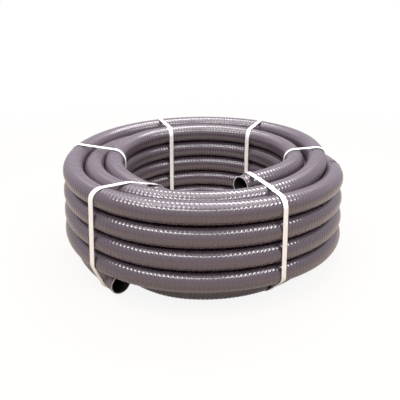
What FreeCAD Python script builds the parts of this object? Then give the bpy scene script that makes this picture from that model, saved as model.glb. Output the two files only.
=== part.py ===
import FreeCAD, Part
import math
import os
from FreeCAD import Vector

# A coil of flexible hose, tied up with six straps and standing flat on the floor.
#
# The hose is wound in three columns of turns, one inside the other. It starts at an open end on top
# of the inner column, goes down that column, steps out on the floor, climbs the middle column,
# crosses over the top and goes down the outer column to its other open end on the floor.
#
# +Z is up and the floor is Z = 0. The front of the coil is towards -Y and its eye is round X = Y = 0.
# Lengths are in millimetres. Angles are in degrees, anticlockwise seen from above, from +X.

SIZES = [
    # name, value, what it is
    ("hose_diameter", 50.0, "outside of the hose"),
    ("hose_wall", 3.5, "outside to bore"),
    ("levels", 5, "turns on top of each other in a column"),
    ("level_gap", 0.9, "between a turn and the one on top of it"),
    ("column_gap", 1.0, "between a turn and the one beside it"),
    ("coil_radius", 332.5, "centreline of the top turn of the outer column"),
    ("lean", 3.6, "how much wider a level lies than the one on top of it"),
    ("inner_end_length", 60.0, "straight run at the open end on top"),
    ("outer_end_length", 91.5, "straight run at the open end on the floor"),
    ("outer_end_flare", 2.5, "degrees that the end on the floor turns outwards"),
    ("strap_width", 12.0, "strapping tape"),
    ("strap_thickness", 0.8, "strapping tape"),
    ("strap_clearance", 0.7, "strap to hose, where they are nearest"),
    ("centre_x", -2.0, "moves the coil's axis, so that its outline is centred on the origin"),
    ("centre_y", -1.1, "moves the coil's axis, so that its outline is centred on the origin"),
]

# One turn of each column, as angle, level and bedding. The level counts from the turn's own first
# level: down in the inner and the outer column, up in the middle one. The bedding is how far the turn
# moves outwards, in shares of what a turn gains when it beds into the groove between two neighbours.
INNER_TURN = [(20, 0, 0.1), (75, 0, 1.6), (130, 0, 1.7), (165, 0.03, 0.4), (200, 0.17, 0),
              (220, 0.19, 0), (242, 0.396, -0.2), (264, 0.64, -0.4), (309, 1, -0.1)]
MIDDLE_TURN = [(22, 0.2, 0), (65, 0.47, 0.9), (130, 0.57, 0.7), (180, 0.82, 0.08), (200, 0.9, 0),
               (230, 0.97, 1), (250, 0.995, 0.4), (300, 1, 0)]
OUTER_TURN = [(100, 0, 0), (190, 0, 0), (232, 0, 1), (280, 0, 0), (335, 0.33, 0), (375, 0.78, 0),
              (415, 1, 0)]

# How the hose gets to, from and between the columns. On top: angle, column and level over the top one.
INNER_START = [(-50.5, -0.485, -0.005), (-15, 0.135, 0.03)]
CROSSING = [(300, 1, 0.01), (340, 1.14, 0.065), (375, 1.48, 0.12), (405, 1.89, 0.05)]
# On the floor: angle and column.
STEP_OUT = [(165, 0.25), (200, 0.495), (222, 0.527), (236, 0.735), (256, 1.07), (305, 1.06)]
OUTER_END = [(130, 1.92), (200, 1.53), (221, 1.522)]
# The beddings of the inner and the outer column's first turn where the crossing passes them.
INNER_BEDDING_AT_CROSSING = 1.9
OUTER_BEDDING_AT_CROSSING = 1.3

# Distance between the points of the hose's centreline that gaps and straps are worked out on, and the
# number of points round the hose at each of them.
POINT_SPACING = 2.0
SECTION_POINTS = 120

# A strap's plane is searched this many columns to each side of its middle.
STRAP_REACH = 3

# Each strap's name and the angles at which it passes over the outer and the inner column.
STRAPS = [
    ("strap_front_left", 231.1, 240.3),
    ("strap_front_right", 298.2, 300.0),
    ("strap_right", 359.4, 357.3),
    ("strap_back_right", 56.8, 53.1),
    ("strap_back_left", 114.7, 116.3),
    ("strap_left", 174.1, 179.5),
]

document = FreeCAD.newDocument("hose_coil")
sheet = document.addObject("Spreadsheet::Sheet", "sizes")
for row, (name, value, meaning) in enumerate(SIZES, start=1):
    sheet.set(f"A{row}", str(value))
    sheet.setAlias(f"A{row}", name)
    sheet.set(f"B{row}", meaning)
document.recompute()


def size(name):
    return float(sheet.get(name))


hose_radius = size("hose_diameter") / 2
level_step = size("hose_diameter") + size("level_gap")
column_step = size("hose_diameter") + size("column_gap")
inner_radius = size("coil_radius") - 2 * column_step
floor_height = hose_radius + size("strap_clearance") + size("strap_thickness")
bedding_gain = column_step - math.sqrt(column_step**2 - (level_step / 2) ** 2) - size("lean") / 2


def route_stations():
    """The stations that the hose passes, from its inner end on, as angle, radius and height."""
    top = int(size("levels"))
    stations = []

    def add(angle, column, level, bedding=0.0):
        radius = inner_radius + column * column_step + bedding * bedding_gain + size("lean") * (top - level)
        stations.append((angle, radius, floor_height + level_step * (level - 1)))

    # The open end leans in over the inner column, which then goes down to the floor.
    for angle, column, above in INNER_START:
        add(angle, column, top + above)
    for turn in range(top):
        for angle, down, bedding in INNER_TURN:
            if turn == top - 1 and down > 0:
                break
            if turn == 0 and angle == INNER_TURN[0][0]:
                bedding = INNER_BEDDING_AT_CROSSING
            add(360 * turn + angle, 0, top - turn - down, bedding)

    # On the floor the hose steps out to the middle column, which climbs to the top.
    start = 360 * (top - 1)
    for angle, column in STEP_OUT:
        add(start + angle, column, 1)
    start += 360
    for turn in range(top - 1):
        for angle, up, bedding in MIDDLE_TURN:
            if turn == top - 2 and angle == CROSSING[0][0]:
                break
            add(start + 360 * turn + angle, 1, 1 + turn + up, bedding)

    # It crosses over the top of the coil to the outer column, which goes down to the floor.
    start += 360 * (top - 2)
    for angle, column, above in CROSSING:
        add(start + angle, column, top + above)
    start += 360
    for turn in range(top - 1):
        for angle, down, bedding in OUTER_TURN:
            if turn == 0 and angle > 360:
                bedding = OUTER_BEDDING_AT_CROSSING
            add(start + 360 * turn + angle, 2, top - turn - down, bedding)
    start += 360 * (top - 1)
    for angle, column in OUTER_END:
        add(start + angle, column, 1)
    return stations


def station_slopes(angles, values):
    """Slope of a value at each station, per radian: flat at its turning points and at both ends."""
    slopes = [0.0]
    for before, here, after in zip(range(len(values)), range(1, len(values)), range(2, len(values))):
        step_in = angles[here] - angles[before]
        step_out = angles[after] - angles[here]
        slope_in = (values[here] - values[before]) / step_in
        slope_out = (values[after] - values[here]) / step_out
        if slope_in * slope_out <= 0:
            slopes.append(0.0)
            continue
        weight_in = step_in + 2 * step_out
        weight_out = 2 * step_in + step_out
        slopes.append((weight_in + weight_out) / (weight_in / slope_in + weight_out / slope_out))
    return slopes + [0.0]


def route_points():
    """Each station's point and the hose's direction there."""
    stations = route_stations()
    angles = [math.radians(angle) for angle, radius, height in stations]
    radii = [radius for angle, radius, height in stations]
    heights = [height for angle, radius, height in stations]
    centre = Vector(size("centre_x"), size("centre_y"), 0)
    points, directions = [], []
    for angle, radius, height, outwards, upwards in zip(
        angles, radii, heights, station_slopes(angles, radii), station_slopes(angles, heights)
    ):
        radial = Vector(math.cos(angle), math.sin(angle), 0)
        around = Vector(-math.sin(angle), math.cos(angle), 0)
        points.append(centre + radial * radius + Vector(0, 0, height))
        direction = radial * outwards + around * radius + Vector(0, 0, upwards)
        directions.append(direction.normalize())
    flare = FreeCAD.Rotation(Vector(0, 0, 1), -size("outer_end_flare"))
    directions[-1] = flare.multVec(directions[-1])
    return points, directions


def arc_middle(start, direction, end):
    """The point half way along the arc that leaves start in the given direction and reaches end."""
    chord = end - start
    along = Vector(chord).normalize()
    sideways = direction - along * direction.dot(along)
    if sideways.Length < 1e-6:
        return None
    half_angle = math.atan2(sideways.Length, direction.dot(along)) / 2
    return (start + end) * 0.5 + sideways.normalize() * (chord.Length / 2 * math.tan(half_angle))


def arc_or_line(start, direction, end):
    middle = arc_middle(start, direction, end)
    if middle is None:
        return Part.LineSegment(start, end).toShape()
    return Part.Arc(start, middle, end).toShape()


def hose_route():
    """The centreline: two tangent arcs from each station to the next, and a straight run at each end."""
    points, directions = route_points()
    first = points[0] - directions[0] * size("inner_end_length")
    last = points[-1] + directions[-1] * size("outer_end_length")
    edges = [Part.LineSegment(first, points[0]).toShape()]
    for start, end, leaving, arriving in zip(points, points[1:], directions, directions[1:]):
        span = end - start
        both = leaving + arriving
        spread = 2 * (1 - leaving.dot(arriving))
        forwards = span.dot(both)
        reach = (math.sqrt(forwards**2 + spread * span.dot(span)) - forwards) / spread
        corner_in = start + leaving * reach
        corner_out = end - arriving * reach
        joint = (corner_in + corner_out) * 0.5
        edges.append(arc_or_line(start, leaving, joint))
        edges.append(arc_or_line(joint, (corner_out - corner_in).normalize(), end))
    edges.append(Part.LineSegment(points[-1], last).toShape())
    return Part.Wire(edges)


def least_gap(points):
    """Least gap from the hose to itself, measured on points of its centreline.

    The points are sorted into cubes a tenth wider than the hose. Only points in neighbouring cubes are
    compared, and only those that are three diameters or more apart along the hose.
    """
    cell = 1.1 * size("hose_diameter")
    neighbours = range(-1, 2)
    apart = int(3 * size("hose_diameter") / POINT_SPACING)
    grid = {}
    least = math.inf
    for index, point in enumerate(points):
        key = (int(point.x // cell), int(point.y // cell), int(point.z // cell))
        for step_x in neighbours:
            for step_y in neighbours:
                for step_z in neighbours:
                    for other in grid.get((key[0] + step_x, key[1] + step_y, key[2] + step_z), []):
                        if index - other > apart:
                            least = min(least, point.distanceToPoint(points[other]))
        grid.setdefault(key, []).append(index)
    return least - size("hose_diameter")


def surface_under_strap(points, middle, heading, radius):
    """Points of the hose's outside that a strap covers, each with the number of its turn."""
    across = Vector(-heading.y, heading.x, 0)
    half_width = size("strap_width") / 2
    most_beside = half_width + size("hose_diameter")
    most_ahead = STRAP_REACH * column_step
    found = []
    turn = 0
    for here, there in zip(points, points[1:]):
        if abs((here - middle).dot(across)) > most_beside or abs((here - middle).dot(heading)) > most_ahead:
            turn += 1 if found and found[-1][1] == turn else 0
            continue
        direction = (there - here).normalize()
        sideways = direction.cross(Vector(0, 0, 1)).normalize()
        upwards = sideways.cross(direction)
        for step in range(SECTION_POINTS):
            around = 2 * math.pi * step / SECTION_POINTS
            point = here + (sideways * math.cos(around) + upwards * math.sin(around)) * radius
            if abs((point - middle).dot(across)) <= half_width:
                found.append((point, turn))
    return found


def outside_line(start, end, point):
    """How far a point lies to the right of the line from start to end."""
    along_x, along_y = end[0] - start[0], end[1] - start[1]
    cross = along_y * (point[0] - start[0]) - along_x * (point[1] - start[1])
    return cross / math.hypot(along_x, along_y)


def hull(points):
    """The points on the tightest convex outline round (x, y, turn of the hose), anticlockwise."""
    def half(ordered):
        chain = []
        for point in ordered:
            while len(chain) > 1 and outside_line(chain[-2], point, chain[-1]) < 1e-6:
                chain.pop()
            chain.append(point)
        return chain[:-1]

    ordered = sorted(points)
    return half(ordered) + half(ordered[::-1])


def belt_wire(outline, place):
    """A belt's outline: round each turn of the hose that it touches, and straight from turn to turn."""
    first = next(index for index, point in enumerate(outline) if point[2] != outline[index - 1][2])
    outline = outline[first:] + outline[:first]
    rounds = []
    for x, y, turn in outline:
        if not rounds or rounds[-1][0] != turn:
            rounds.append((turn, []))
        rounds[-1][1].append(place(x, y))
    edges = []
    for (turn, touched), (next_turn, next_touched) in zip(rounds, rounds[1:] + rounds[:1]):
        if len(touched) > 2:
            edges.append(Part.Arc(touched[0], touched[len(touched) // 2], touched[-1]).toShape())
        elif len(touched) == 2:
            edges.append(Part.LineSegment(touched[0], touched[1]).toShape())
        edges.append(Part.LineSegment(touched[-1], next_touched[0]).toShape())
    return Part.Wire(edges)


def add_hose():
    """The hose: its outside swept along the route, less its bore."""
    route = document.addObject("Part::Feature", "hose_route")
    route.Shape = hose_route()
    edges = [f"Edge{index}" for index in range(1, len(route.Shape.Edges) + 1)]
    first_edge = route.Shape.Edges[0]
    start = first_edge.Vertexes[0].Point
    facing = FreeCAD.Rotation(Vector(0, 0, 1), first_edge.tangentAt(first_edge.FirstParameter))
    swept = []
    for name, radius in (("hose_outside", "sizes.hose_diameter / 2"),
                         ("hose_bore", "sizes.hose_diameter / 2 - sizes.hose_wall")):
        circle = document.addObject("Part::Circle", name + "_circle")
        circle.setExpression("Radius", radius)
        circle.Placement = FreeCAD.Placement(start, facing)
        sweep = document.addObject("Part::Sweep", name)
        sweep.Sections = [circle]
        sweep.Spine = (route, edges)
        sweep.Solid = True
        sweep.Frenet = False
        swept.append(sweep)
    hose = document.addObject("Part::Cut", "hose")
    hose.Base, hose.Tool = swept
    return hose, route


def add_strap(name, outer_angle, inner_angle, points):
    """A strap pulled tight round the bundle, in the upright plane through its two angles."""
    centre = Vector(size("centre_x"), size("centre_y"), 0)
    ends = []
    for radius, angle in ((size("coil_radius"), outer_angle), (inner_radius, inner_angle)):
        turn = math.radians(angle)
        ends.append(centre + Vector(math.cos(turn), math.sin(turn), 0) * radius)
    middle = (ends[0] + ends[1]) * 0.5
    heading = (ends[1] - ends[0]).normalize()
    mean_angle = math.radians((outer_angle + inner_angle) / 2)
    along = Vector(-math.sin(mean_angle), math.cos(mean_angle), 0)
    outwards = Vector(math.cos(mean_angle), math.sin(mean_angle), 0)
    across = Vector(-heading.y, heading.x, 0)

    def place(out, up):
        return middle + outwards * out + Vector(0, 0, up)

    def belt(radius):
        """Outline of a belt pulled tight round the hose, if the hose had this radius."""
        touched = [((point - middle).dot(outwards), point.z, turn)
                   for point, turn in surface_under_strap(points, middle, heading, radius)]
        return Part.Face(belt_wire(hull(touched), place))

    inside = hose_radius + size("strap_clearance")
    outline = document.addObject("Part::Feature", name + "_outline")
    outline.Shape = belt(inside + size("strap_thickness")).cut(belt(inside))
    band = document.addObject("Part::Extrusion", name + "_band")
    band.Base = outline
    band.DirMode = "Custom"
    band.Dir = along
    band.Symmetric = True
    band.Solid = True
    band.setExpression("LengthFwd", "20 * sizes.strap_width")
    tape = document.addObject("Part::Box", name + "_tape")
    tape.setExpression("Width", "sizes.strap_width")
    tape.setExpression("Length", f"{2 * STRAP_REACH} * (sizes.hose_diameter + sizes.column_gap)")
    tape.setExpression("Height", "(sizes.levels + 2) * (sizes.hose_diameter + sizes.level_gap)")
    corner = middle - heading * (STRAP_REACH * column_step) - across * (size("strap_width") / 2)
    tape.Placement = FreeCAD.Placement(
        corner - Vector(0, 0, level_step), FreeCAD.Rotation(heading, across, Vector(0, 0, 1))
    )
    strap = document.addObject("Part::Common", name)
    strap.Base = band
    strap.Tool = tape
    return strap


hose, route = add_hose()
route_length = route.Shape.Length
points = route.Shape.discretize(Number=int(route_length / POINT_SPACING) + 1)
radii = [edge.Curve.Radius for edge in route.Shape.Edges if hasattr(edge.Curve, "Radius")]
print(f"hose length {route_length:.0f} mm, tightest bend {min(radii):.1f} mm")
print(f"least gap of the hose to itself {least_gap(points):.2f} mm")

sub_parts = [hose]
for name, outer_angle, inner_angle in STRAPS:
    sub_parts.append(add_strap(name, outer_angle, inner_angle, points))
document.recompute()

for item in document.Objects:
    if "Invalid" in item.State or "Error" in item.State:
        raise RuntimeError(f"{item.Label} failed: {item.State}")
for item in sub_parts:
    if item.Shape.isNull() or not item.Shape.isValid():
        raise RuntimeError(f"{item.Label} has no valid shape")

os.makedirs("parts", exist_ok=True)
for item in sub_parts:
    item.Shape.exportStep(f"parts/{item.Label}.step")
    box = item.Shape.BoundBox
    print(f"{item.Label}: {len(item.Shape.Solids)} solid, {item.Shape.Volume:.0f} mm3, "
          f"x {box.XMin:.1f} to {box.XMax:.1f}, y {box.YMin:.1f} to {box.YMax:.1f}, "
          f"z {box.ZMin:.2f} to {box.ZMax:.2f}")
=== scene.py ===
import math

import bpy
import numpy as np
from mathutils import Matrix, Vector


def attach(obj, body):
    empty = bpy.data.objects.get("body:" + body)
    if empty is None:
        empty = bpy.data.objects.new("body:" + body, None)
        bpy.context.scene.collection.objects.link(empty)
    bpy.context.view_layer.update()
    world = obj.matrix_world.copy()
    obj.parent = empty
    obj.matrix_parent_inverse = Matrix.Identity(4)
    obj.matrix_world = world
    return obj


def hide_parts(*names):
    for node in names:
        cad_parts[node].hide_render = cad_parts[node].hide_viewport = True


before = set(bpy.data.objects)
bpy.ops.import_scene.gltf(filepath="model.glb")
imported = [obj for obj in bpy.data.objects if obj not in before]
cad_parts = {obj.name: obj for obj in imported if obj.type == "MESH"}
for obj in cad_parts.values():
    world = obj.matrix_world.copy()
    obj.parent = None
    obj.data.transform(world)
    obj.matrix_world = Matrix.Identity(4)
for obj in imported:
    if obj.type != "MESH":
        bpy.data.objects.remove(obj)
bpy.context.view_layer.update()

bl_info = {
    "name": "Drain hose coil",
    "version": (1, 0, 0),
    "blender": (4, 5, 0),
    "location": "3D View > Sidebar > Hose coil",
    "description": "Makes a coil of ribbed flexible hose, tied up with straps, on a pale floor",
    "category": "Add Mesh",
}

# Everything is in metres, with Z up, the floor at Z = 0 and the front towards -Y.

# The winding, as in the part's source. One turn of each column, as angle in degrees, level and
# bedding. The level counts from the turn's own first level, down in the inner and the outer column and
# up in the middle one. The bedding is in shares of what a turn gains when it beds between neighbours.
LEVELS = 5
LEVEL_STEP = 0.0509
COLUMN_STEP = 0.051
COIL_RADIUS = 0.3325
LEAN = 0.0036
FLOOR_HEIGHT = 0.0265
CENTRE = Vector((-0.002, -0.0011, 0))
INNER_END_LENGTH = 0.06
OUTER_END_LENGTH = 0.0915
OUTER_END_FLARE = math.radians(2.5)
INNER_TURN = [(20, 0, 0.1), (75, 0, 1.6), (130, 0, 1.7), (165, 0.03, 0.4), (200, 0.17, 0),
              (220, 0.19, 0), (242, 0.396, -0.2), (264, 0.64, -0.4), (309, 1, -0.1)]
MIDDLE_TURN = [(22, 0.2, 0), (65, 0.47, 0.9), (130, 0.57, 0.7), (180, 0.82, 0.08), (200, 0.9, 0),
               (230, 0.97, 1), (250, 0.995, 0.4), (300, 1, 0)]
OUTER_TURN = [(100, 0, 0), (190, 0, 0), (232, 0, 1), (280, 0, 0), (335, 0.33, 0), (375, 0.78, 0),
              (415, 1, 0)]
# How the hose gets to, from and between the columns. On top: angle, column and level over the top one.
INNER_START = [(-50.5, -0.485, -0.005), (-15, 0.135, 0.03)]
CROSSING = [(300, 1, 0.01), (340, 1.14, 0.065), (375, 1.48, 0.12), (405, 1.89, 0.05)]
# On the floor: angle and column.
STEP_OUT = [(165, 0.25), (200, 0.495), (222, 0.527), (236, 0.735), (256, 1.07), (305, 1.06)]
OUTER_END = [(130, 1.92), (200, 1.53), (221, 1.522)]
# The beddings of the inner and the outer column's first turn where the crossing passes them.
INNER_BEDDING_AT_CROSSING = 1.9
OUTER_BEDDING_AT_CROSSING = 1.3
INNER_RADIUS = COIL_RADIUS - 2 * COLUMN_STEP
BEDDING_GAIN = COLUMN_STEP - math.sqrt(COLUMN_STEP**2 - (LEVEL_STEP / 2) ** 2) - LEAN / 2

# Each strap's node and the angles at which it passes over the outer and the inner column.
STRAPS = [
    ("strap_front_left", 231.1, 240.3),
    ("strap_front_right", 298.2, 300.0),
    ("strap_right", 359.4, 357.3),
    ("strap_back_right", 56.8, 53.1),
    ("strap_back_left", 114.7, 116.3),
    ("strap_left", 174.1, 179.5),
]

# The spline of the hose has this many points to a turn, and is worked out at so many places from each
# of them to the next.
POINTS_PER_TURN = 16
SPLINE_STEPS = 40
# The ribs are an unbroken spiral: rows of the mesh to one turn of it, and sides round the hose.
RIB_ROWS = 5
SIDES = 20
# A rib is an arch over this share of the pitch on each side of its crest. The rest is flat.
ARCH_REACH = 0.4
# The bore is smooth, so its rings stand further apart.
BORE_STEP = 0.06
# From one point to the next of the path that is worked out along each length.
PATH_STEP = 0.01
# The hose's faces by material. The cut wall is flat, with sharp edges.
OUTSIDE, BORE, CUT = range(3)
# The hose's mesh is in three lengths that meet out of sight, so many degrees round the coil from where
# its angles start: inside the middle column, and under the strap on the left.
SEAMS = (1882, 3414.1)
# Directions in which a strap's outline is looked for, and the steps of its tape along the outline.
OUTLINE_DIRECTIONS = 3600
STRAP_STEP = 0.002
# The rounded edge of the tape, as a share of half its thickness.
TAPE_EDGE = 0.9

# The camera's place and aim in metres, its lens and sensor in millimetres, and its shift.
CAMERA_AT = CENTRE + Vector((0, -1.1598, 0.6375))
CAMERA_LOOKS_AT = CENTRE + Vector((0, 0, 0.1273))
CAMERA_LENS = 41.62
CAMERA_SENSOR = 36
CAMERA_SHIFT = (-0.0079, -0.0170)

# Name, bearing and angle above the floor in degrees, width and height in metres, and watts. The top
# lamp is wide and lights everything a little. The rest are strips that glint in rows along the ribs.
LAMPS = [
    ("lamp_top", 90, 80, (3.4, 2.8), 72),
    ("lamp_back", 70, 64, (1.4, 0.26), 31),
    ("lamp_left", -134, 47, (1.1, 0.28), 18),
    ("lamp_left_high", -150, 67, (0.8, 0.2), 9),
    ("lamp_right", -34, 46, (1.1, 0.28), 19),
    ("lamp_front", -86, 46, (1.1, 0.18), 9),
]
LAMPS_AIM = Vector((0, 0, 0.15))
LAMP_DISTANCE = 2.2
# Half a side of the square floor.
FLOOR_REACH = 30
# To the camera the floor is this share plain white near the coil, where its shadow shows, and goes to
# all white between these two distances from the middle. Gloss has this share of that white.
FLOOR_WHITE_NEAR = 0.9
FLOOR_FADE = (0.4, 2.0)
FLOOR_IN_GLOSS = 0.4
# The surroundings are white to the camera. Gloss has them in this tint, and this share lights the coil.
SURROUNDINGS_TINT = (0.94, 0.9, 1.0)
SURROUNDINGS_FILL = 0.06


class HoseCoilSizes(bpy.types.PropertyGroup):
    """Sizes that don't change how the hose is wound."""

    hose_diameter: bpy.props.FloatProperty(
        name="Hose diameter", description="Outside of the ribs", default=0.05, unit="LENGTH")
    wall: bpy.props.FloatProperty(
        name="Wall", description="From the crest of a rib to the bore", default=0.0035, unit="LENGTH")
    rib_pitch: bpy.props.FloatProperty(
        name="Rib pitch", description="From one rib of the spiral to the next", default=0.0094, unit="LENGTH")
    rib_depth: bpy.props.FloatProperty(
        name="Rib depth", description="From a rib's crest down to the wall between ribs", default=0.00055,
        unit="LENGTH")
    strap_width: bpy.props.FloatProperty(
        name="Strap width", description="Width of the strapping tape", default=0.012, unit="LENGTH")
    strap_thickness: bpy.props.FloatProperty(
        name="Strap thickness", description="Thickness of the strapping tape", default=0.0008, unit="LENGTH")


class HoseCoilColours(bpy.types.PropertyGroup):
    """Colours of the hose, the straps and the floor."""

    hose: bpy.props.FloatVectorProperty(
        name="Hose", description="Grey PVC", default=(0.083, 0.06, 0.076), subtype="COLOR", size=3)
    # The bore's near-black colour is painted shade for the deep inside of the hose.
    bore: bpy.props.FloatVectorProperty(
        name="Bore", description="Inside of the hose", default=(0.009, 0.008, 0.008), subtype="COLOR", size=3)
    cut: bpy.props.FloatVectorProperty(
        name="Cut end", description="Cut face of the hose's wall", default=(0.86, 0.8, 0.79), subtype="COLOR",
        size=3)
    strap: bpy.props.FloatVectorProperty(
        name="Strap", description="White strapping", default=(0.93, 0.92, 0.91), subtype="COLOR", size=3)
    floor: bpy.props.FloatVectorProperty(
        name="Floor", description="Pale floor", default=(0.64, 0.52, 0.42), subtype="COLOR", size=3)


class Wire:
    """A socket of a material's nodes. Sums and products on it add the Math nodes that work them out."""

    def __init__(self, shader, socket):
        self.shader = shader
        self.socket = socket

    def __add__(self, other):
        return self.shader.math("ADD", self, other)

    def __sub__(self, other):
        return self.shader.math("SUBTRACT", self, other)

    def __rsub__(self, other):
        return self.shader.math("SUBTRACT", other, self)

    def __mul__(self, other):
        return self.shader.math("MULTIPLY", self, other)

    def __truediv__(self, other):
        return self.shader.math("DIVIDE", self, other)

    def __rtruediv__(self, other):
        return self.shader.math("DIVIDE", other, self)

    __radd__ = __add__
    __rmul__ = __mul__


class Shader:
    """A material's or the world's node tree, emptied first, and the calls that fill it."""

    def __init__(self, name, tree=None):
        if tree is None:
            self.material = bpy.data.materials.new(name)
            self.material.use_nodes = True
            tree = self.material.node_tree
        self.tree = tree
        self.tree.nodes.clear()

    def node(self, kind, settings, sockets, output=0):
        """Adds a node: its settings first, then a value or a wire for each socket named."""
        node = self.tree.nodes.new(kind)
        for name, value in settings.items():
            setattr(node, name, value)
        for name, value in sockets.items():
            socket = node.inputs[name]
            if isinstance(value, Wire):
                self.tree.links.new(value.socket, socket)
            else:
                socket.default_value = value
        return Wire(self, node.outputs[output]) if node.outputs else None

    def math(self, operation, *values):
        return self.node("ShaderNodeMath", {"operation": operation}, dict(enumerate(values)))

    def blend(self, share, first, second):
        """Mixes two colours."""
        return self.node("ShaderNodeMix", {"data_type": "RGBA"}, {0: share, 6: first, 7: second}, 2)

    def mottle(self, clouds, colour, darkest, lightest):
        """The colour times a factor between these two, as the clouds go from 0 to 1."""
        return self.blend(clouds, rgba(colour, darkest), rgba(colour, lightest))

    def limit(self, value, low, high):
        """Where a value stands between two others, from 0 to 1."""
        return self.node("ShaderNodeMapRange", {"interpolation_type": "SMOOTHSTEP"},
                         {"Value": value, "From Min": low, "From Max": high})

    def place(self):
        """Where a point is, in the object's own metres."""
        return self.node("ShaderNodeTexCoord", {}, {}, "Object")

    def own_map(self, axis):
        """The piece's UV map: 0 is the length along it, 1 is how far across or round it."""
        own = self.node("ShaderNodeUVMap", {"uv_map": "UVMap"}, {})
        return self.node("ShaderNodeSeparateXYZ", {}, {"Vector": own}, axis)

    def ray(self, kind):
        """1 where the ray is of this kind, such as Is Camera Ray, and 0 where it isn't."""
        return self.node("ShaderNodeLightPath", {}, {}, kind)

    def noise(self, scale, detail):
        return self.node("ShaderNodeTexNoise", {}, {"Vector": self.place(), "Scale": scale, "Detail": detail})

    def bump(self, height, strength, distance):
        return self.node("ShaderNodeBump", {}, {"Height": height, "Strength": strength, "Distance": distance})

    def surface(self, sockets):
        """Puts a Principled surface into the output."""
        shader = self.node("ShaderNodeBsdfPrincipled", {}, sockets)
        self.node("ShaderNodeOutputMaterial", {}, {"Surface": shader})
        return self.material


def between(share, first, second):
    """The number that goes from the first to the second as the share goes from 0 to 1."""
    return share * (second - first) + first


def rgba(colour, factor=1.0):
    return tuple(channel * factor for channel in colour) + (1.0,)


def hose_material(colour, sizes):
    """Glossy grey PVC: smooth ribs, mottled a little paler, and matter flats between them, darker partly in
    their own tone and partly by painted shade.

    The crest is half of 1 plus the cosine of the ribs' phase: 1 along a rib and 0 midway to the next.
    """
    matt, gloss, cloudy = 0.34, 0.11, 0.02
    # The flats between ribs are this much darker: partly the soft wall's own tone, partly painted shade in
    # the hollows between ribs.
    flat_tone_and_painted_shade = 0.96
    shader = Shader("hose_pvc")
    turn = shader.own_map(1) / (math.pi * sizes.hose_diameter)
    phase = shader.own_map(0) / sizes.rib_pitch - turn
    crest = between(shader.math("COSINE", phase * (2 * math.pi)), 0.5, 1.0)
    polish = shader.limit(crest, low=0.02, high=0.3)
    clouds = shader.noise(scale=9.0, detail=3.0)
    grain = shader.noise(scale=260.0, detail=2.0)
    rib = shader.mottle(clouds, colour, darkest=0.95, lightest=1.1)
    return shader.surface({
        "Base Color": shader.blend(crest, rgba(colour, flat_tone_and_painted_shade), rib),
        "Roughness": between(polish, matt, gloss) + clouds * cloudy,
        "Specular IOR Level": 0.8,
        "Normal": shader.bump(grain, strength=0.04, distance=0.0004),
    })


def bore_material(colour):
    """The inside of the hose, coloured near black as painted shade."""
    shader = Shader("hose_bore")
    clouds = shader.noise(scale=60.0, detail=3.0)
    return shader.surface({
        "Base Color": shader.mottle(clouds, colour, darkest=0.8, lightest=1.2),
        "Roughness": between(clouds, 0.5, 0.6),
        "Specular IOR Level": 0.15,
    })


def cut_material(colour, inside, sizes):
    """The hose's wall where it was sawn through: a pale streaked rim, and painted shade that darkens it
    towards the bore.

    The cut's UV map holds how far across the wall a point is: nothing at the bore, and as much as a
    turn round the hose at its outside.
    """
    cut_painted_shade_factor = 3.0
    shader = Shader("hose_cut")
    across = shader.own_map(1) / (math.pi * sizes.hose_diameter)
    streaks = shader.noise(scale=900.0, detail=2.0)
    rim = shader.mottle(streaks, colour, darkest=0.8, lightest=1.15)
    # Towards the bore the cut is painted shade, three times the bore's painted-shade colour.
    rim_share = shader.limit(across, low=0.3, high=0.55)
    return shader.surface({
        "Base Color": shader.blend(rim_share, rgba(inside, cut_painted_shade_factor), rim),
        "Roughness": between(streaks, 0.6, 0.7),
        "Normal": shader.bump(streaks, strength=0.3, distance=0.0003),
    })


def strap_material(colour, sizes):
    """White strapping tape with fine lengthwise lines, mottled a little grey, with painted shade along its
    edges.
    """
    line_pitch = 0.0011
    half_width = sizes.strap_width / 2
    grey_shade, painted_shade_at_edge, grey_in_clouds = 0.7, 0.35, 0.15
    shader = Shader("strapping")
    across = shader.own_map(1)
    clouds = shader.noise(scale=45.0, detail=3.0)
    lines = shader.math("SINE", across * (2 * math.pi / line_pitch))
    # Painted shade greys the tape towards its edges. The clouds add a little grey mottling.
    edge = shader.limit(shader.math("ABSOLUTE", across), low=0.8 * half_width, high=half_width)
    grey = edge * painted_shade_at_edge + clouds * grey_in_clouds
    return shader.surface({
        "Base Color": shader.blend(grey, rgba(colour), rgba(colour, grey_shade)),
        "Roughness": between(clouds, 0.3, 0.45),
        "Normal": shader.bump(lines, strength=0.25, distance=0.00006),
    })


def new_mesh(name, points, corners, uvs, materials, indices):
    """A smooth mesh of triangles, whose corners have UVs and whose faces have material indices."""
    mesh = bpy.data.meshes.new(name)
    mesh.vertices.add(len(points))
    mesh.vertices.foreach_set("co", points.astype(np.float32).ravel())
    mesh.loops.add(corners.size)
    mesh.loops.foreach_set("vertex_index", corners.astype(np.int32).ravel())
    mesh.polygons.add(len(corners))
    mesh.polygons.foreach_set("loop_start", np.arange(0, corners.size, 3, dtype=np.int32))
    for material in materials:
        mesh.materials.append(material)
    mesh.polygons.foreach_set("material_index", indices.astype(np.int32))
    mesh.update(calc_edges=True)
    layer = mesh.uv_layers.new(name="UVMap")
    layer.data.foreach_set("uv", uvs.astype(np.float32).ravel())
    mesh.shade_smooth()
    mesh.validate()
    piece = bpy.data.objects.new(name, mesh)
    bpy.context.scene.collection.objects.link(piece)
    return piece


def triangles(near, beside, far, across):
    """Two triangles for each face of a grid, of any value that its four corners have."""
    return np.concatenate([np.stack([near, far, across], -1), np.stack([near, across, beside], -1)])


def running_lengths(line):
    """The length along a line at each of its points."""
    return np.concatenate([[0], np.cumsum(np.linalg.norm(np.diff(line, axis=0), axis=1))])


def points_along(line, lengths, at):
    """Points of a line at these lengths along it."""
    return np.stack([np.interp(at, lengths, values) for values in line.T], axis=-1)


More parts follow.
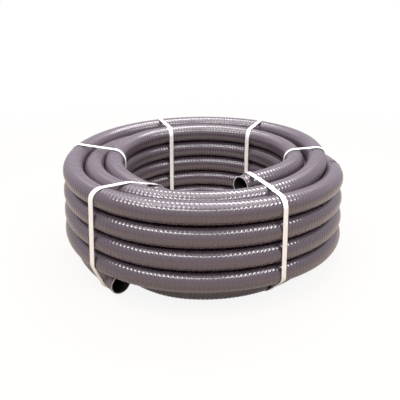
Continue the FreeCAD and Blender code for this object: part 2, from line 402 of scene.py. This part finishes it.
def route_stations():
    """The stations that the hose passes, from its inner end on, as angle, radius and height."""
    stations = []

    def add(angle, column, level, bedding=0.0):
        radius = INNER_RADIUS + column * COLUMN_STEP + bedding * BEDDING_GAIN + LEAN * (LEVELS - level)
        stations.append((math.radians(angle), radius, FLOOR_HEIGHT + LEVEL_STEP * (level - 1)))

    for angle, column, above in INNER_START:
        add(angle, column, LEVELS + above)
    for turn in range(LEVELS):
        for angle, down, bedding in INNER_TURN:
            if turn == LEVELS - 1 and down > 0:
                break
            if turn == 0 and angle == INNER_TURN[0][0]:
                bedding = INNER_BEDDING_AT_CROSSING
            add(360 * turn + angle, 0, LEVELS - turn - down, bedding)

    start = 360 * (LEVELS - 1)
    for angle, column in STEP_OUT:
        add(start + angle, column, 1)
    start += 360
    for turn in range(LEVELS - 1):
        for angle, up, bedding in MIDDLE_TURN:
            if turn == LEVELS - 2 and angle == CROSSING[0][0]:
                break
            add(start + 360 * turn + angle, 1, 1 + turn + up, bedding)

    start += 360 * (LEVELS - 2)
    for angle, column, above in CROSSING:
        add(start + angle, column, LEVELS + above)
    start += 360
    for turn in range(LEVELS - 1):
        for angle, down, bedding in OUTER_TURN:
            if turn == 0 and angle > 360:
                bedding = OUTER_BEDDING_AT_CROSSING
            add(start + 360 * turn + angle, 2, LEVELS - turn - down, bedding)
    start += 360 * (LEVELS - 1)
    for angle, column in OUTER_END:
        add(start + angle, column, 1)
    return np.array(stations)


def station_slopes(angles, values):
    """Slope of a value at each station: flat at its turning points and at both ends."""
    steps = np.diff(angles)
    rises = np.diff(values) / steps
    weight_in = steps[:-1] + 2 * steps[1:]
    weight_out = 2 * steps[:-1] + steps[1:]
    steady = rises[:-1] * rises[1:] > 0
    with np.errstate(divide="ignore", invalid="ignore"):
        inner = (weight_in + weight_out) / (weight_in / rises[:-1] + weight_out / rises[1:])
    return np.concatenate([[0], np.where(steady, inner, 0), [0]])


def between_stations(angles, values, at):
    """The smooth curve through the stations' values: a cubic from each station to the next."""
    slopes = station_slopes(angles, values)
    index = np.clip(np.searchsorted(angles, at, side="right") - 1, 0, len(angles) - 2)
    step = angles[index + 1] - angles[index]
    t = (at - angles[index]) / step
    return (values[index] * (1 + 2 * t) * (1 - t) ** 2 + slopes[index] * step * t * (1 - t) ** 2
            + values[index + 1] * t**2 * (3 - 2 * t) - slopes[index + 1] * step * t**2 * (1 - t))


def on_the_coil(angles, radii, heights):
    """Points at these angles round the coil's axis, distances from it and heights."""
    across = np.stack([np.cos(angles) * radii, np.sin(angles) * radii, heights], axis=-1)
    return across + np.array(CENTRE)


def route_points():
    """The points of the hose's spline: POINTS_PER_TURN to a turn, and two along each open end.

    A spline of order 3 runs from the middle of one span between its points to the middle of the next,
    so the points of a turn stand a little outside the turn, where the spans' middles lie on it.
    """
    angles, radii, heights = route_stations().T
    count = round((angles[-1] - angles[0]) / (2 * math.pi) * POINTS_PER_TURN)
    step = (angles[-1] - angles[0]) / count
    at = angles[0] + step * (np.arange(count) + 0.5)
    out = between_stations(angles, radii, at) / math.cos(step / 2)
    points = on_the_coil(at, out, between_stations(angles, heights, at))

    def open_end(index, way, length, flare):
        station = on_the_coil(angles[index], radii[index], heights[index])
        turned = angles[index] - flare
        heading = np.array([-math.sin(turned), math.cos(turned), 0]) * way
        return [station + heading * radii[index] * math.tan(step / 2), station + heading * length]

    first = open_end(0, -1, INNER_END_LENGTH, 0)
    last = open_end(-1, 1, OUTER_END_LENGTH, OUTER_END_FLARE)
    return np.vstack([first[::-1], points, last])


def spline_line(points):
    """The hose's centreline as the spline through these points gives it."""
    curve = bpy.data.curves.new("hose_route", "CURVE")
    curve.dimensions = "3D"
    curve.resolution_u = SPLINE_STEPS
    spline = curve.splines.new("NURBS")
    spline.points.add(len(points) - 1)
    spline.points.foreach_set("co", np.column_stack([points, np.ones(len(points))]).ravel())
    spline.order_u = 3
    spline.use_endpoint_u = True
    holder = bpy.data.objects.new("hose_route", curve)
    mesh = bpy.data.meshes.new_from_object(holder)
    line = np.zeros(len(mesh.vertices) * 3)
    mesh.vertices.foreach_get("co", line)
    bpy.data.meshes.remove(mesh)
    bpy.data.objects.remove(holder)
    bpy.data.curves.remove(curve)
    return line.reshape(-1, 3)


class Route:
    """The centreline, looked up by the length along it."""

    def __init__(self, line):
        self.line = line
        self.lengths = running_lengths(line)
        self.length = float(self.lengths[-1])

    def length_at(self, degrees):
        """Length along the hose where it has come so far round the coil, counted as its stations are."""
        angles = np.unwrap(np.arctan2(self.line[:, 1] - CENTRE.y, self.line[:, 0] - CENTRE.x))
        return float(np.interp(math.radians(degrees), angles, self.lengths))

    def points(self, at):
        return points_along(self.line, self.lengths, at)

    def frames(self, at):
        """At each length: the centre, the sideways and the upward direction across the hose."""
        reach = 0.004
        along = self.points(np.minimum(at + reach, self.length)) - self.points(np.maximum(at - reach, 0))
        along /= np.linalg.norm(along, axis=-1, keepdims=True)
        sideways = np.cross(along, (0.0, 0.0, 1.0))
        sideways /= np.linalg.norm(sideways, axis=-1, keepdims=True)
        return self.points(at), sideways, np.cross(sideways, along)


def rib_radius(along, around, sizes):
    """The hose's outside. A rib's crest is wherever the length along it, in pitches, less the share of a
    turn round it is a whole number. From there the rib falls off as the square of the distance from its
    crest, to a narrow flat between two ribs.
    """
    phase = along / sizes.rib_pitch - around
    off_crest = np.abs(phase - np.round(phase))
    return sizes.hose_diameter / 2 - sizes.rib_depth * np.minimum(off_crest / ARCH_REACH, 1) ** 2


def round_the_hose(route, along, around, radius):
    """Points at a length along the hose, a share of a turn round it and a distance from its middle."""
    centre, sideways, upward = route.frames(along)
    turn = 2 * math.pi * around[..., None]
    return centre + radius[..., None] * (np.cos(turn) * sideways + np.sin(turn) * upward)


def ribbed_outside(route, start, end, sizes):
    """The ribbed outside of a length of hose: its points, its faces and the numbers of both end rings.

    The outside is a grid of rows that follow the spiral of the ribs, RIB_ROWS to a pitch, and sides
    round the hose. The point of row k and side j is k / RIB_ROWS + j / SIDES pitches along, so that a
    row is one line of the spiral, and the last side of a row joins the first side of the row one pitch
    on. Rows that pass an end of the length are gathered into one ring there.
    """
    side = np.arange(SIDES)
    low = np.floor((start / sizes.rib_pitch - side / SIDES) * RIB_ROWS).astype(int)
    high = np.ceil((end / sizes.rib_pitch - side / SIDES) * RIB_ROWS).astype(int)
    first, last = low.min() - RIB_ROWS, high.max() + RIB_ROWS
    rows = np.arange(first, last + 1)
    row, column = np.meshgrid(rows, side, indexing="ij")
    along = np.clip((row / RIB_ROWS + column / SIDES) * sizes.rib_pitch, start, end)
    around = column / SIDES
    points = round_the_hose(route, along, around, rib_radius(along, around, sizes)).reshape(-1, 3)

    def corner(row, column):
        """Number of the grid's point, its length along and its share of a turn, for an unrolled corner."""
        wrapped = column == SIDES
        side = np.where(wrapped, 0, column)
        row = np.clip(np.where(wrapped, row + RIB_ROWS, row), low[side], high[side])
        number = (row - first) * SIDES + side
        return number, along.ravel()[number], column / SIDES

    row, column = (values.ravel() for values in np.meshgrid(rows[:-RIB_ROWS - 1], side, indexing="ij"))
    near, beside = corner(row, column), corner(row, column + 1)
    far, across = corner(row + 1, column), corner(row + 1, column + 1)
    corners, at, turn = (triangles(*values) for values in zip(near, beside, far, across))
    whole = np.all(corners != np.roll(corners, 1, axis=1), axis=1)
    rings = [(level - first) * SIDES + side for level in (low, high)]
    return points, (corners[whole], at[whole], turn[whole]), rings


def plain_bore(route, start, end, sizes, base):
    """The bore of a length of hose, as plain rings of points that are numbered from base on."""
    ring_at = np.linspace(start, end, max(2, round((end - start) / BORE_STEP) + 1))
    along, side = np.meshgrid(ring_at, np.arange(SIDES), indexing="ij")
    radius = np.full(along.shape, sizes.hose_diameter / 2 - sizes.wall)
    points = round_the_hose(route, along, side / SIDES, radius).reshape(-1, 3)

    ring, side = np.indices((len(ring_at) - 1, SIDES)).reshape(2, -1)
    near, beside = base + ring * SIDES + side, base + ring * SIDES + (side + 1) % SIDES
    corners = triangles(near, beside, near + SIDES, beside + SIDES)
    at = triangles(ring_at[ring], ring_at[ring], ring_at[ring + 1], ring_at[ring + 1])
    turn = triangles(side, side + 1, side, side + 1) / SIDES
    rings = [base + row * SIDES + np.arange(SIDES) for row in (0, len(ring_at) - 1)]
    return points, tuple(values[:, ::-1] for values in (corners, at, turn)), rings


def cut_wall(outer, inner, at):
    """The flat ring of the hose's wall at a length along it, whose share is 1 outside and 0 at the bore."""
    corners = triangles(outer, inner, np.roll(outer, -1), np.roll(inner, -1))
    one, none = np.ones(SIDES), np.zeros(SIDES)
    return corners, np.full(corners.shape, at), triangles(one, none, one, none)


def hose_length(name, route, start, end, sizes, materials):
    """A length of the hose: its ribbed outside, its bore and the cut wall at both ends."""
    outside, outside_faces, outside_rings = ribbed_outside(route, start, end, sizes)
    bore, bore_faces, bore_rings = plain_bore(route, start, end, sizes, len(outside))
    start_cut = cut_wall(outside_rings[0], bore_rings[0], start)
    end_cut = tuple(values[:, ::-1] for values in cut_wall(outside_rings[1], bore_rings[1], end))
    surfaces = [outside_faces, bore_faces, start_cut, end_cut]
    corners, at, turn = (np.concatenate(values) for values in zip(*surfaces))
    indices = np.repeat([OUTSIDE, BORE, CUT, CUT], [len(surface[0]) for surface in surfaces])
    used, corners = np.unique(corners, return_inverse=True)
    points = np.concatenate([outside, bore])[used]
    uvs = np.stack([at, turn * math.pi * sizes.hose_diameter], axis=-1)
    piece = new_mesh(name, points, corners.reshape(-1, 3), uvs, materials, indices)
    piece.data.polygons.foreach_set("use_smooth", indices != CUT)
    return piece


def strap_outline(name, outwards):
    """The outer outline of a strap's node, seen along the hose, as (outwards, up) from the coil's axis.

    The node's points, seen along the hose, lie on the strap's inside and outside. The outline goes
    through the farthest of them in each direction, which is the tightest convex line round them.
    """
    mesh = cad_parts[name].data
    points = np.zeros(len(mesh.vertices) * 3)
    mesh.vertices.foreach_get("co", points)
    points = points.reshape(-1, 3) - np.array(CENTRE)
    flat = np.unique(np.stack([points @ outwards, points[:, 2]], axis=-1), axis=0)
    way = math.pi + 2 * math.pi * (np.arange(OUTLINE_DIRECTIONS) + 0.5) / OUTLINE_DIRECTIONS
    farthest = np.argmax(flat @ np.stack([np.cos(way), np.sin(way)]), axis=0)
    return flat[farthest[farthest != np.roll(farthest, 1)]]


def tape_section(sizes):
    """The section of the strapping as (across, through): flat, with half an ellipse at each edge."""
    half_width, half_thick = sizes.strap_width / 2, sizes.strap_thickness / 2
    edge = half_thick * TAPE_EDGE
    turn = np.radians(np.arange(-90, 91, 30))
    right = np.stack([half_width - edge + edge * np.cos(turn), half_thick * np.sin(turn)], axis=-1)
    return np.vstack([right, -right])


def strap_piece(name, outer_angle, inner_angle, sizes, material):
    """One strap: the tape's section carried round the bundle, just inside the strap's own outline.

    The outline is in the plane across the hose. The tape runs in the upright plane through the
    strap's two angles, so a point of the section moves along the hose until it is at its own
    distance from that plane.
    """
    angles = np.radians([outer_angle, inner_angle])
    radii = np.array([COIL_RADIUS, INNER_RADIUS])
    ends = np.stack([np.cos(angles) * radii, np.sin(angles) * radii, np.zeros(2)], axis=-1)
    heading = (ends[1] - ends[0]) / np.linalg.norm(ends[1] - ends[0])
    across = np.array([-heading[1], heading[0], 0])
    mean = angles.mean()
    outwards = np.array([math.cos(mean), math.sin(mean), 0])
    along = np.array([-math.sin(mean), math.cos(mean), 0])

    outline = strap_outline(name, outwards)
    closed = np.vstack([outline, outline[:1]])
    lengths = running_lengths(closed)
    count = round(lengths[-1] / STRAP_STEP)
    step = lengths[-1] / count
    line = points_along(closed, lengths, np.arange(count) * step)
    tangent = np.roll(line, -1, axis=0) - np.roll(line, 1, axis=0)
    tangent /= np.linalg.norm(tangent, axis=-1, keepdims=True)
    outer = np.stack([tangent[:, 1], -tangent[:, 0]], axis=-1)

    section = tape_section(sizes)
    sides = len(section)
    depth = section[:, 1] - sizes.strap_thickness / 2
    flat = line[:, None, :] + outer[:, None, :] * depth[:, None]
    place = flat[..., :1] * outwards + flat[..., 1:] * np.array([0, 0, 1])
    distance = section[:, 0] - (place - ends.mean(axis=0)) @ across
    place = place + (distance / (along @ across))[..., None] * along + np.array(CENTRE)

    ring, side = np.indices((count, sides)).reshape(2, -1)
    ring_next, side_next = (ring + 1) % count, (side + 1) % sides
    corners = triangles(ring * sides + side, ring_next * sides + side,
                        ring * sides + side_next, ring_next * sides + side_next)
    uvs = np.stack([triangles(ring, ring + 1, ring, ring + 1) * step,
                    section[triangles(side, side, side_next, side_next), 0]], axis=-1)
    return new_mesh(name + "_tape", place.reshape(-1, 3), corners, uvs, [material], np.zeros(len(corners)))


class HOSECOIL_OT_camera(bpy.types.Operator):
    """Add the camera, a little above the coil and in front of it"""

    bl_idname = "hosecoil.camera"
    bl_label = "Camera"

    def execute(self, context):
        data = bpy.data.cameras.new("camera")
        data.lens = CAMERA_LENS
        data.sensor_width = CAMERA_SENSOR
        data.shift_x, data.shift_y = CAMERA_SHIFT
        camera = bpy.data.objects.new("camera", data)
        camera.location = CAMERA_AT
        camera.rotation_euler = (CAMERA_LOOKS_AT - CAMERA_AT).to_track_quat("-Z", "Y").to_euler()
        context.scene.collection.objects.link(camera)
        context.scene.camera = camera
        return {"FINISHED"}


class HOSECOIL_OT_hose(bpy.types.Operator):
    """Add the hose, wound in three columns, with its spiral of ribs and its bore"""

    bl_idname = "hosecoil.hose"
    bl_label = "Hose"

    def execute(self, context):
        sizes, colours = context.scene.hose_coil_sizes, context.scene.hose_coil_colours
        materials = [hose_material(colours.hose, sizes), bore_material(colours.bore),
                     cut_material(colours.cut, colours.bore, sizes)]
        route = Route(spline_line(route_points()))
        print(f"hose {route.length:.3f} m long")
        cuts = (0.0,) + tuple(route.length_at(seam) for seam in SEAMS) + (route.length,)
        for number, (start, end) in enumerate(zip(cuts, cuts[1:]), start=1):
            piece = hose_length(f"hose_length_{number}", route, start, end, sizes, materials)
            path = route.points(np.linspace(start, end, round((end - start) / PATH_STEP)))
            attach(piece, "root")
            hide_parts("hose")
        return {"FINISHED"}


class HOSECOIL_OT_straps(bpy.types.Operator):
    """Add the six straps that tie the coil"""

    bl_idname = "hosecoil.straps"
    bl_label = "Straps"

    def execute(self, context):
        sizes, colours = context.scene.hose_coil_sizes, context.scene.hose_coil_colours
        material = strap_material(colours.strap, sizes)
        for name, outer_angle, inner_angle in STRAPS:
            piece = strap_piece(name, outer_angle, inner_angle, sizes, material)
            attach(piece, "root")
            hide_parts(name)
        return {"FINISHED"}


class HOSECOIL_OT_stage(bpy.types.Operator):
    """Add the pale floor, the soft lamps and the white surroundings"""

    bl_idname = "hosecoil.stage"
    bl_label = "Stage"

    def execute(self, context):
        colours = context.scene.hose_coil_colours
        context.scene.view_settings.view_transform = "Standard"
        self.add_floor(context, colours)
        self.add_surroundings(context)
        for lamp in LAMPS:
            self.add_lamp(context, *lamp)
        return {"FINISHED"}

    def add_floor(self, context, colours):
        mesh = bpy.data.meshes.new("floor")
        ways = ((-1, -1), (1, -1), (1, 1), (-1, 1))
        mesh.from_pydata([(x * FLOOR_REACH, y * FLOOR_REACH, 0) for x, y in ways], [], [(0, 1, 2, 3)])
        floor = bpy.data.objects.new("floor", mesh)
        context.scene.collection.objects.link(floor)
        shader = Shader("floor")
        seen = shader.ray("Is Camera Ray") + shader.ray("Is Glossy Ray") * FLOOR_IN_GLOSS
        matt = shader.node("ShaderNodeBsdfDiffuse", {}, {"Color": rgba(colours.floor)})
        white = shader.node("ShaderNodeEmission", {}, {"Color": (1, 1, 1, 1), "Strength": 1.0})
        distance = shader.node("ShaderNodeVectorMath", {"operation": "LENGTH"}, {0: shader.place()}, 1)
        share = between(shader.limit(distance, *FLOOR_FADE), FLOOR_WHITE_NEAR, 1.0)
        both = shader.node("ShaderNodeMixShader", {}, {0: seen * share, 1: matt, 2: white})
        shader.node("ShaderNodeOutputMaterial", {}, {"Surface": both})
        mesh.materials.append(shader.material)

    def add_surroundings(self, context):
        world = bpy.data.worlds.new("surroundings")
        world.use_nodes = True
        context.scene.world = world
        sky = Shader("surroundings", world.node_tree)
        seen, mirrored = sky.ray("Is Camera Ray"), sky.ray("Is Glossy Ray")
        colour = sky.blend(seen, rgba(SURROUNDINGS_TINT), (1, 1, 1, 1))
        strength = between(seen + mirrored, SURROUNDINGS_FILL, 1.0)
        glow = sky.node("ShaderNodeBackground", {}, {"Color": colour, "Strength": strength})
        sky.node("ShaderNodeOutputWorld", {}, {"Surface": glow})

    def add_lamp(self, context, name, bearing, height_angle, size, watts):
        light = bpy.data.lights.new(name, "AREA")
        light.shape = "RECTANGLE"
        light.size, light.size_y = size
        light.energy = watts
        lamp = bpy.data.objects.new(name, light)
        turn, tilt = math.radians(bearing), math.radians(height_angle)
        way = Vector((math.cos(turn) * math.cos(tilt), math.sin(turn) * math.cos(tilt), math.sin(tilt)))
        lamp.location = LAMPS_AIM + way * LAMP_DISTANCE
        lamp.rotation_euler = (-way).to_track_quat("-Z", "Y").to_euler()
        context.scene.collection.objects.link(lamp)


class HOSECOIL_PT_panel(bpy.types.Panel):
    """Sizes, colours and pieces of the hose coil"""

    bl_idname = "HOSECOIL_PT_panel"
    bl_label = "Hose coil"
    bl_space_type = "VIEW_3D"
    bl_region_type = "UI"
    bl_category = "Hose coil"

    def draw(self, context):
        for group in (context.scene.hose_coil_sizes, context.scene.hose_coil_colours):
            for name in group.__annotations__:
                self.layout.prop(group, name)
        for operator in OPERATORS:
            self.layout.operator(operator.bl_idname)


OPERATORS = (HOSECOIL_OT_camera, HOSECOIL_OT_hose, HOSECOIL_OT_straps, HOSECOIL_OT_stage)
CLASSES = (HoseCoilSizes, HoseCoilColours) + OPERATORS + (HOSECOIL_PT_panel,)


def register():
    for cls in CLASSES:
        bpy.utils.register_class(cls)
    bpy.types.Scene.hose_coil_sizes = bpy.props.PointerProperty(type=HoseCoilSizes)
    bpy.types.Scene.hose_coil_colours = bpy.props.PointerProperty(type=HoseCoilColours)


def unregister():
    del bpy.types.Scene.hose_coil_colours
    del bpy.types.Scene.hose_coil_sizes
    for cls in reversed(CLASSES):
        bpy.utils.unregister_class(cls)


def main():
    register()
    bpy.ops.hosecoil.camera()
    bpy.ops.hosecoil.hose()
    bpy.ops.hosecoil.straps()
    bpy.ops.hosecoil.stage()


if __name__ == "__main__":
    main()
